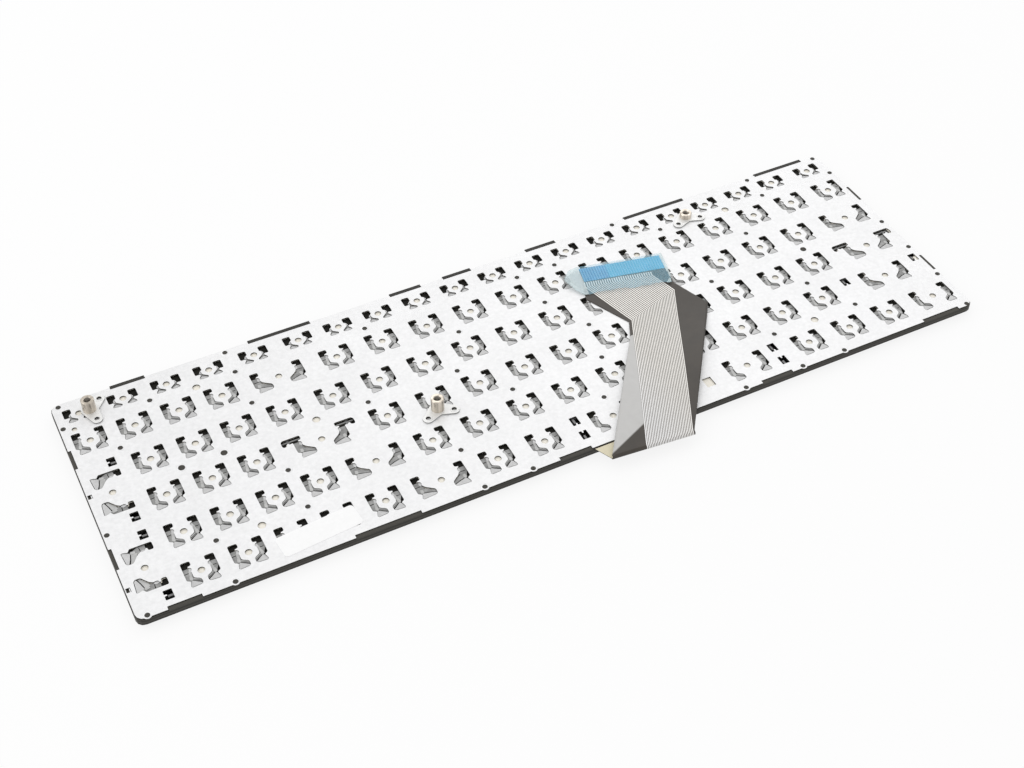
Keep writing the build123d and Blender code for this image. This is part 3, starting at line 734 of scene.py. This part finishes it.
class KEYBOARD_OT_switch_sheet(bpy.types.Operator):
    """Milky switch sheet under the plate"""
    bl_idname = "keyboard.switch_sheet"
    bl_label = "Switch Sheet"

    def execute(self, context):
        loops = flat_loops("base_plate", plate_top)
        inset, clear, thick, gap, edge = 2.3, 0.3, 0.3 * MM, 0.12 * MM, 0.02 * MM
        outlines = [grown(loops[-1], -inset)]
        outlines += [grown(loop, clear) for loop in loops if len(loop) == 4]
        for switch in switch_places():
            outlines += [grown(window, clear) for window in switch_windows(switch)]
        mesh = sheet_mesh("switch_sheet", outlines, plate_low - gap - thick, thick, edge)
        film = finish("milky_film", colours().sheet, roughness=0.35, grain=300.0)
        piece("switch_sheet", mesh, "film", film)
        return {"FINISHED"}


def tail_top():
    """A search tree of the CAD sheet, for heights on the tail."""
    mesh = frame["nodes"]["switch_membrane"].data
    return BVHTree.FromPolygons([v.co for v in mesh.vertices], [tuple(p.vertices) for p in mesh.polygons])


def height_on(tree, x, y):
    """Height of the tail's upper side at a point."""
    hit, _, _, _ = tree.ray_cast(Vector((x, y, 1.0)), Vector((0, 0, -1)))
    if hit is None:
        raise RuntimeError(f"the tail has no surface at {x:.4f}, {y:.4f}")
    return hit.z


def along(points, t):
    """A point on a polyline whose corners lie at even steps of t."""
    place = min(t * (len(points) - 1), len(points) - 1 - 1e-9)
    k = int(place)
    return Vector(points[k]).lerp(Vector(points[k + 1]), place - k)


def fold_point(x, y, radius, angle):
    """A point of the fold outside the crease, in metres; angle 90 is its top."""
    turn = radians(CREASE_ANGLE)
    out = radius * cos(radians(angle))
    px, py = on_plate(x + out * sin(turn), y - out * cos(turn))
    centre = plate_low + (FOLD_RADIUS - TAIL_THICK / 2) * MM
    return px, py, centre + radius * sin(radians(angle)) * MM


def across_tail(t, margin_steps, bed_steps):
    """Points across the tail at one station: grey margin, bed of the traces, dark margin."""
    stops = [along(line, t) for line in (NUMPAD_SIDE, TRACE_NUMPAD, TRACE_ESC, ESC_SIDE)]
    row = []
    for a, b, steps in zip(stops, stops[1:], (margin_steps, bed_steps, margin_steps)):
        row += [a.lerp(b, k / steps) for k in range(steps)]
    return row + [stops[-1]]


class KEYBOARD_OT_tail(bpy.types.Operator):
    """Ribbon tail folded over the plate, with its printed traces"""
    bl_idname = "keyboard.tail"
    bl_label = "Ribbon Tail"

    margin_steps, bed_steps, stations, trace_end = 8, 30, 80, 0.8
    fold_angles = range(-90, 91, 15)
    fold_stations = [0.004 * k for k in range(1, 12)]
    trace_angles = range(-45, 90, 15)
    trace_thick, edge_inset, first_station = 0.06, 0.004, 4

    def execute(self, context):
        tint = colours()
        rows = self.rows()
        mesh = grid_mesh("ribbon_tail", rows)
        self.zones(mesh, len(rows[0]) - 1)
        film = finish("dark_film", tint.film, roughness=0.3,
                      grain=200.0, spread=0.12, bump=0.03, specular=0.38)
        margin = finish("grey_margin", tint.film, roughness=0.3,
                        grain=200.0, spread=0.12, bump=0.03, specular=0.38)
        graded(margin, tint.margin, *DARK_CORNER)
        # painted highlight: the bed is paler towards the numpad side, for a lamp's reflection on the glossy
        # tail
        bed = finish("trace_bed_and_highlight", tint.bed_highlight, roughness=0.3, grain=400.0, spread=0.06, specular=0.3)
        graded(bed, tint.bed, *TRACE_HIGHLIGHT_SPAN)
        tail = piece("ribbon_tail", mesh, "film", film, margin, bed)
        thicken(tail, TAIL_THICK * MM)
        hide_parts("switch_membrane")
        self.traces()
        return {"FINISHED"}

    def rows(self):
        """Rows of points across the tail, from under the plate's edge round the fold to its head."""
        tree = tail_top()
        start = across_tail(0.0, self.margin_steps, self.bed_steps)
        lean = 1 / tan(radians(EXIT_HEADING))
        rows = []
        for back in EXIT_BACKS:
            z = plate_low - TAIL_THICK / 2 * MM
            rows.append([(*on_plate(x + back * lean, y + back), z) for x, y in start])
        for angle in self.fold_angles:
            rows.append([fold_point(x, y, FOLD_RADIUS, angle) for x, y in start])
        for t in self.shares():
            row = []
            points = across_tail(t, self.margin_steps, self.bed_steps)
            middle = points[len(points) // 2]
            for point in points:
                x, y = on_plate(*point.lerp(middle, self.edge_inset))
                row.append((x, y, height_on(tree, x, y) - TAIL_THICK / 2 * MM))
            rows.append(row)
        return rows

    def shares(self):
        """Stations along the tail, closer together at the fold."""
        return self.fold_stations + [k / self.stations for k in range(self.first_station, self.stations + 1)]

    def zones(self, mesh, columns):
        """Gives the margin below the knee and the bed of the traces their own finishes."""
        before = len(EXIT_BACKS) + len(self.fold_angles) - 1
        stations = self.shares()
        knee = 1 / (len(NUMPAD_SIDE) - 1)
        for k, face in enumerate(mesh.polygons):
            row, column = divmod(k, columns)
            t = stations[row - before] if row >= before else 0.0
            if self.margin_steps <= column < self.margin_steps + self.bed_steps:
                face.material_index = 2
            elif column < self.margin_steps and 0 < t <= knee:
                face.material_index = 1

    def traces(self):
        """Flat silver strips from the fold to the head."""
        tree = tail_top()
        count = sizes().traces
        lift, fold_lift, edges = 0.05, 0.015, (0.22, 0.78)
        points, faces = [], []
        for n in range(count):
            paths = []
            for edge in edges:
                share = (n + edge) / count
                line = [Vector(a).lerp(Vector(b), share) for a, b in zip(TRACE_NUMPAD, TRACE_ESC)]
                path = [fold_point(*line[0], FOLD_RADIUS + TAIL_THICK / 2 + fold_lift, angle)
                        for angle in self.trace_angles]
                for t in self.shares():
                    if t <= self.trace_end:
                        x, y = on_plate(*along(line, t))
                        path.append((x, y, height_on(tree, x, y) + lift * MM))
                paths.append(path)
            base, length = len(points), len(paths[0])
            points += paths[0] + paths[1]
            faces += [(base + k, base + length + k, base + length + k + 1, base + k + 1)
                      for k in range(length - 1)]
        mesh = bpy.data.meshes.new("tail_traces")
        mesh.from_pydata(points, [], faces)
        tint = colours()
        # painted highlight: the traces are whiter towards the numpad side, for the same reflection
        silver = finish("printed_silver_and_highlight", tint.trace_highlight, roughness=0.4, grain=700.0)
        strips = piece("tail_traces", mesh, "film", graded(silver, tint.trace, *TRACE_HIGHLIGHT_SPAN))
        thicken(strips, self.trace_thick * MM)


class KEYBOARD_OT_tail_end(bpy.types.Operator):
    """Blue stiffener with its crumpled cover film, and the tape at the fold"""
    bl_idname = "keyboard.tail_end"
    bl_label = "Tail End"

    def execute(self, context):
        tint = colours()
        blue = finish("blue_stiffener", tint.stiffener, roughness=0.3, grain=500.0, spread=0.12)
        graded(blue, tint.stiffener_light, *STIFFENER_SHADE)
        lined(blue, tint.stiffener_pale, STIFFENER_LINE_PITCH * MM, HEAD_ANGLE, STIFFENER_LINE_SHARE)
        dress(frame["nodes"]["tail_stiffener"], blue)
        dress(frame["nodes"]["fold_tape"], finish("cream_tape", tint.tape, roughness=0.45, grain=400.0))
        self.film()
        return {"FINISHED"}

    def film(self):
        """A thin clear sheet with soft creases."""
        _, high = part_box("tail_stiffener")
        turn = radians(HEAD_ANGLE)
        zones, count, thick = (14, 40, 3), 30, 0.04 * MM
        numpad_gap, esc_lap = 0.2, 0.6
        rows = []
        for r in range(count + 1):
            left, right = along(FILM_NUMPAD, r / count), along(FILM_ESC, r / count)
            stops = [left.x, -STIFFENER_HALF - numpad_gap, STIFFENER_HALF - esc_lap, right.x]
            line = [a + (b - a) * k / n for a, b, n in zip(stops, stops[1:], zones) for k in range(n)]
            row = []
            for across in line + [right.x]:
                back = left.y + (right.y - left.y) * (across - left.x) / (right.x - left.x)
                x = HEAD_CENTRE[0] + across * cos(turn) + back * sin(turn)
                y = HEAD_CENTRE[1] + across * sin(turn) - back * cos(turn)
                row.append((*on_plate(x, y), high.z + self.lift(x, y, across, back) * MM))
            rows.append(row)
        mesh = grid_mesh("cover_film", rows)
        for face in mesh.polygons:
            column = face.index % sum(zones)
            face.material_index = 0 if zones[0] <= column < zones[0] + zones[1] else 1
        flat = finish("clear_film", colours().clear_flat, roughness=0.2, grain=120.0, spread=0.1, bump=0.1)
        loose = finish("loose_film", colours().clear, roughness=0.2, grain=120.0, spread=0.12, bump=0.1)
        see_through(flat, FLAT_ALPHA)
        see_through(loose, LOOSE_ALPHA)
        film = piece("cover_film", mesh, "cover_film", flat, loose)
        thicken(film, thick)
        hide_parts("tail_cover_film")

    def lift(self, x, y, across, back):
        """Height over the stiffener, in millimetres: flat on it, crumpled where the film is free."""
        free = max(abs(across) - STIFFENER_HALF, back - STIFFENER_DEPTH, 0.0)
        rest, most_free = 0.05, 5.0
        fold_grain, fold_level, fold_height = 0.22, 1.7, 0.22
        small_grain, small_level, small_height = 0.7, 4.1, 0.05
        fold = 1 - abs(noise.noise(Vector((x * fold_grain, y * fold_grain, fold_level))))
        small = noise.noise(Vector((x * small_grain, y * small_grain, small_level)))
        return rest + min(free, most_free) * (fold_height * fold ** 3 + small_height * small)


class KEYBOARD_OT_standoffs(bpy.types.Operator):
    """Threaded pillars, their flanges and the rivets in the ears"""
    bl_idname = "keyboard.standoffs"
    bl_label = "Standoffs"

    bore_reach = 1.24 * MM

    def execute(self, context):
        tint = colours()
        # painted reflection: strong colour streaks along the pillars' height stand in for the room reflected
        # in the nickel
        nickel = finish("nickel_painted_streaks", tint.pillar, roughness=0.25, metallic=1.0,
                        grain=700.0, spread=0.36, stretch=(1, 1, 0.03))
        # painted shade: the bore takes the nickel darkened to under a third, for the shade inside it
        bore = finish("bore_painted_shade", scaled(tint.pillar, 0.3), roughness=0.35, metallic=0.8,
                      grain=900.0, spread=0.2)
        build = bmesh.new()
        places = []
        for low, high in solid_boxes("threaded_standoffs"):
            places.append(((low[0] + high[0]) / 2, (low[1] + high[1]) / 2))
            self.pillar(build, *places[-1], low[2], high[2])
        mesh = finished_mesh("threaded_pillars", build, True)
        # faces inside the bore get the painted shade
        for face in mesh.polygons:
            reach = min((Vector(place) - face.center.xy).length for place in places)
            face.material_index = 1 if reach < self.bore_reach else 0
        pillars = piece("threaded_pillars", mesh, "standoff", nickel, bore)
        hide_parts("threaded_standoffs")
        self.flanges()
        self.rivets()
        return {"FINISHED"}

    def pillar(self, build, x, y, low, high):
        """Turns a pillar: chamfered rim, and a bore with the ridges of a thread."""
        outer, bore, chamfer = 2.5 * MM, 1.25 * MM, 0.25 * MM
        pitch, ridge, floor = 0.45 * MM, 0.2 * MM, low + 0.4 * MM
        profile = [(0.0, low), (outer, low), (outer, high - chamfer), (outer - chamfer, high),
                   (bore + chamfer, high), (bore, high - chamfer)]
        z = high - chamfer
        while z - pitch > floor:
            profile += [(bore - ridge, z - pitch / 2), (bore, z - pitch)]
            z -= pitch
        turn_profile(build, x, y, profile + [(bore, floor), (0.0, floor)])

    def flanges(self):
        """Thin steel brackets with a bore in each ear."""
        low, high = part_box("standoff_flanges")
        edge_break = 0.08 * MM
        outlines = flat_loops("standoff_flanges", high.z)
        outlines += [ring(*on_plate(x, y), sizes().rivet / 2) for x, y in RIVETS]
        mesh = sheet_mesh("flange_plates", outlines, low.z, high.z - low.z, edge_break)
        shade_sides(mesh)
        tint = colours()
        steel = finish("flange_steel", tint.flange, roughness=0.5, metallic=0.5, grain=800.0, spread=0.06)
        # painted shade: the flanges' upright sides take their steel darkened to about a third
        edge = finish("flange_side_shade", scaled(tint.flange, 0.35), roughness=0.5, metallic=0.4,
                      grain=800.0, spread=0.15)
        plates = piece("flange_plates", mesh, "flange", steel, edge)
        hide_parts("standoff_flanges")

    def rivets(self):
        """Rolled rims of the rivets, with a dark wall of painted shade round a pale floor."""
        _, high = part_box("standoff_flanges")
        outer, inner = sizes().rivet / 2 + 0.1 * MM, sizes().rivet / 2 - 0.12 * MM
        floor, roll = plate_top - 0.2 * MM, high.z + 0.16 * MM
        lip, lip_top, mouth, near = 0.4 * MM, 0.3 * MM, 0.12 * MM, 0.02 * MM
        rim = [(0.0, plate_low), (outer, plate_low), (outer, high.z), (outer + lip, high.z),
               (outer + lip_top, roll), (inner + mouth, roll), (inner, high.z), (inner, floor), (0.0, floor)]
        build = bmesh.new()
        for place in RIVETS:
            turn_profile(build, *on_plate(*place), rim, RIVET_STEPS)
        mesh = finished_mesh("rivet_rims", build, True)
        for face in mesh.polygons:
            reach = min((Vector(on_plate(*place)) - face.center.xy).length for place in RIVETS)
            # the upright inner walls of the rivets take the near-black painted shade
            face.material_index = 1 if reach < inner + near and upright(face) else 0
        steel = finish("flange_steel", colours().flange, roughness=0.5)
        piece("rivet_rims", mesh, "flange", steel, finish("side_painted_shade", colours().side_shade, roughness=0.6))


class KEYBOARD_OT_stakes(bpy.types.Operator):
    """Melted heads of the frame's heat stakes in their dished seats"""
    bl_idname = "keyboard.stakes"
    bl_label = "Heat Stakes"

    def execute(self, context):
        stakes = [(x, y, sizes().stake / 2) for y, row in STAKE_ROWS for x in row]
        stakes += [(x, y, BROAD_STAKE * MM) for x, y in BROAD_STAKES]
        heads, seats = bmesh.new(), bmesh.new()
        for x, y, r in stakes:
            place = on_plate(x, y)
            foot = [(0.0, plate_low), (r, plate_low)]
            turn_profile(heads, *place, foot + self.profile(STAKE_HEAD, r), HEAD_STEPS)
            if abs(x) < EDGE_STAKE:
                turn_profile(seats, *place, self.profile(STAKE_SEAT, r), SEAT_STEPS)
        tint = colours()
        dark = finish("stake_plastic", tint.moulding, roughness=0.6, grain=900.0, spread=0.2, specular=0.3)
        piece("heat_stakes", finished_mesh("heat_stakes", heads, True), "frame", dark)
        # painted shade: the dished seats take the plate colour a little darker
        rim = finish("stake_seat", scaled(tint.plate, 0.92), roughness=0.45, metallic=0.7,
                     grain=1200.0, spread=0.06)
        piece("stake_seats", finished_mesh("stake_seats", seats, True), "plate", rim)
        return {"FINISHED"}

    def profile(self, shape, r):
        """A profile over the back for a stake of one radius."""
        return [(share * r, plate_top + lift * MM) for share, lift in shape]


class KEYBOARD_OT_mouldings(bpy.types.Operator):
    """Frame, keycaps, domes, bars and label in their finishes"""
    bl_idname = "keyboard.mouldings"
    bl_label = "Frame and Keys"

    def execute(self, context):
        tint = colours()
        nodes = frame["nodes"]
        dark = finish("dark_moulding", tint.moulding, roughness=0.6,
                      grain=1500.0, spread=0.15, bump=0.1, specular=0.35)
        # painted shade: darker bands by height on the frame's sides, for the shade under its lip
        lined(dark, scaled(tint.moulding, 0.3), FRAME_SHADE_PITCH * MM, 0.0, FRAME_SHADE_SHARE, "Z")
        dress(nodes["bezel_frame"], dark)
        dress(nodes["rubber_domes"], finish("dome_rubber", tint.sheet, roughness=0.6, grain=300.0))
        dress(nodes["stabilizer_bars"], finish("bar_wire", tint.bar, roughness=0.4, metallic=0.5, spread=0.1))
        dress(nodes["blank_label"], finish("label_paper", tint.label, roughness=0.6,
                                           grain=700.0, spread=0.015))
        black = finish("key_plastic", tint.keycap, roughness=0.5, grain=2500.0, spread=0.15, bump=0.08)
        for name in key_nodes():
            dress(nodes[name], black)
            soft = nodes[name].modifiers.new("soft_edges", "BEVEL")
            soft.width = sizes().key_edge
            soft.segments = 2
        return {"FINISHED"}


class KEYBOARD_OT_stage(bpy.types.Operator):
    """Pale floor, soft light and the camera"""
    bl_idname = "keyboard.stage"
    bl_label = "Stage"

    def execute(self, context):
        self.floor()
        self.world()
        self.lamps()
        self.camera()
        context.scene.view_settings.view_transform = "Standard"
        return {"FINISHED"}

    def seen_rays(self, nodes, links):
        """One for what the camera sees, straight, mirrored or through glass."""
        path = nodes.new("ShaderNodeLightPath")
        seen = path.outputs["Is Camera Ray"]
        for kind in ("Is Glossy Ray", "Is Transmission Ray"):
            either = nodes.new("ShaderNodeMath")
            either.operation = "MAXIMUM"
            links.new(seen, either.inputs[0])
            links.new(path.outputs[kind], either.inputs[1])
            seen = either.outputs[0]
        return seen

    def floor(self):
        """Pale paper that keeps the shadow."""
        mesh = bpy.data.meshes.new("floor")
        places = [(x, y, 0) for x, y in rectangle(0, 0, FLOOR_WIDTH, FLOOR_WIDTH)]
        mesh.from_pydata(places, [], [(0, 1, 2, 3)])
        floor = new_object("floor", mesh)
        floor.location.z = -FLOOR_GAP
        paper = bpy.data.materials.new("floor_paper")
        paper.use_nodes = True
        nodes, links = paper.node_tree.nodes, paper.node_tree.links
        nodes.clear()
        out = nodes.new("ShaderNodeOutputMaterial")
        matt = nodes.new("ShaderNodeBsdfDiffuse")
        matt.inputs["Color"].default_value = (FLOOR_GREY, FLOOR_GREY, FLOOR_GREY, 1)
        white = nodes.new("ShaderNodeEmission")
        mix = nodes.new("ShaderNodeMixShader")
        share = nodes.new("ShaderNodeMath")
        share.operation = "MULTIPLY"
        share.inputs[1].default_value = FLOOR_WHITE
        links.new(self.seen_rays(nodes, links), share.inputs[0])
        links.new(share.outputs[0], mix.inputs["Fac"])
        links.new(matt.outputs[0], mix.inputs[1])
        links.new(white.outputs[0], mix.inputs[2])
        links.new(mix.outputs[0], out.inputs["Surface"])
        mesh.materials.append(paper)

    def world(self):
        """Even white light from all sides."""
        world = bpy.data.worlds.new("studio")
        bpy.context.scene.world = world
        world.use_nodes = True
        nodes, links = world.node_tree.nodes, world.node_tree.links
        level = nodes.new("ShaderNodeMapRange")
        level.inputs["To Min"].default_value = SKY_LIGHT
        level.inputs["To Max"].default_value = SKY_SEEN
        links.new(self.seen_rays(nodes, links), level.inputs["Value"])
        sky = nodes["Background"]
        sky.inputs["Color"].default_value = (1, 1, 1, 1)
        links.new(level.outputs["Result"], sky.inputs["Strength"])

    def lamps(self):
        """Two broad lamps turned to the middle."""
        for name, place, width, power in LAMPS:
            lamp = bpy.data.lights.new(name, "AREA")
            lamp.size = width
            lamp.energy = power
            holder = new_object(name, lamp)
            holder.location = place
            holder.rotation_euler = (-Vector(place)).to_track_quat("-Z", "Y").to_euler()

    def camera(self):
        """The camera at its place over the plate."""
        data = bpy.data.cameras.new("camera")
        data.lens = CAMERA_LENS
        data.sensor_fit = "HORIZONTAL"
        data.sensor_width = SENSOR_WIDTH
        data.clip_start, data.clip_end = CLIP_START, CLIP_END
        camera = new_object("camera", data)
        forward = Vector(CAMERA_FORWARD).normalized()
        right = Vector(CAMERA_RIGHT)
        right = (right - forward * right.dot(forward)).normalized()
        up = right.cross(forward)
        place = Vector((plate_middle.x, plate_middle.y, plate_top)) + Vector(CAMERA_PLACE) * MM
        turn = Matrix((right, up, -forward)).transposed().to_4x4()
        camera.matrix_world = Matrix.Translation(place) @ turn
        bpy.context.scene.camera = camera


STEPS = (KEYBOARD_OT_plate, KEYBOARD_OT_hooks, KEYBOARD_OT_switch_sheet, KEYBOARD_OT_tail,
         KEYBOARD_OT_tail_end, KEYBOARD_OT_standoffs, KEYBOARD_OT_stakes, KEYBOARD_OT_mouldings,
         KEYBOARD_OT_stage)


class KEYBOARD_PT_panel(bpy.types.Panel):
    """Lists the keyboard's pieces"""
    bl_idname = "KEYBOARD_PT_panel"
    bl_label = "Keyboard"
    bl_space_type = "VIEW_3D"
    bl_region_type = "UI"
    bl_category = "Keyboard"

    def draw(self, context):
        for step in STEPS:
            self.layout.operator(step.bl_idname)
        for group in (context.scene.keyboard_sizes, context.scene.keyboard_colours):
            for name in group.bl_rna.properties.keys():
                if name not in ("rna_type", "name"):
                    self.layout.prop(group, name)


CLASSES = (KeyboardSizes, KeyboardColours, *STEPS, KEYBOARD_PT_panel)


def register():
    """Adds the classes and the scene's values."""
    for made in CLASSES:
        bpy.utils.register_class(made)
    bpy.types.Scene.keyboard_sizes = bpy.props.PointerProperty(type=KeyboardSizes)
    bpy.types.Scene.keyboard_colours = bpy.props.PointerProperty(type=KeyboardColours)


def unregister():
    """Takes them out again."""
    del bpy.types.Scene.keyboard_colours
    del bpy.types.Scene.keyboard_sizes
    for made in reversed(CLASSES):
        bpy.utils.unregister_class(made)


def main():
    """Builds the keyboard."""
    register()
    bpy.ops.keyboard.plate()
    bpy.ops.keyboard.hooks()
    bpy.ops.keyboard.switch_sheet()
    bpy.ops.keyboard.tail()
    bpy.ops.keyboard.tail_end()
    bpy.ops.keyboard.standoffs()
    bpy.ops.keyboard.stakes()
    bpy.ops.keyboard.mouldings()
    bpy.ops.keyboard.stage()


if __name__ == "__main__":
    main()
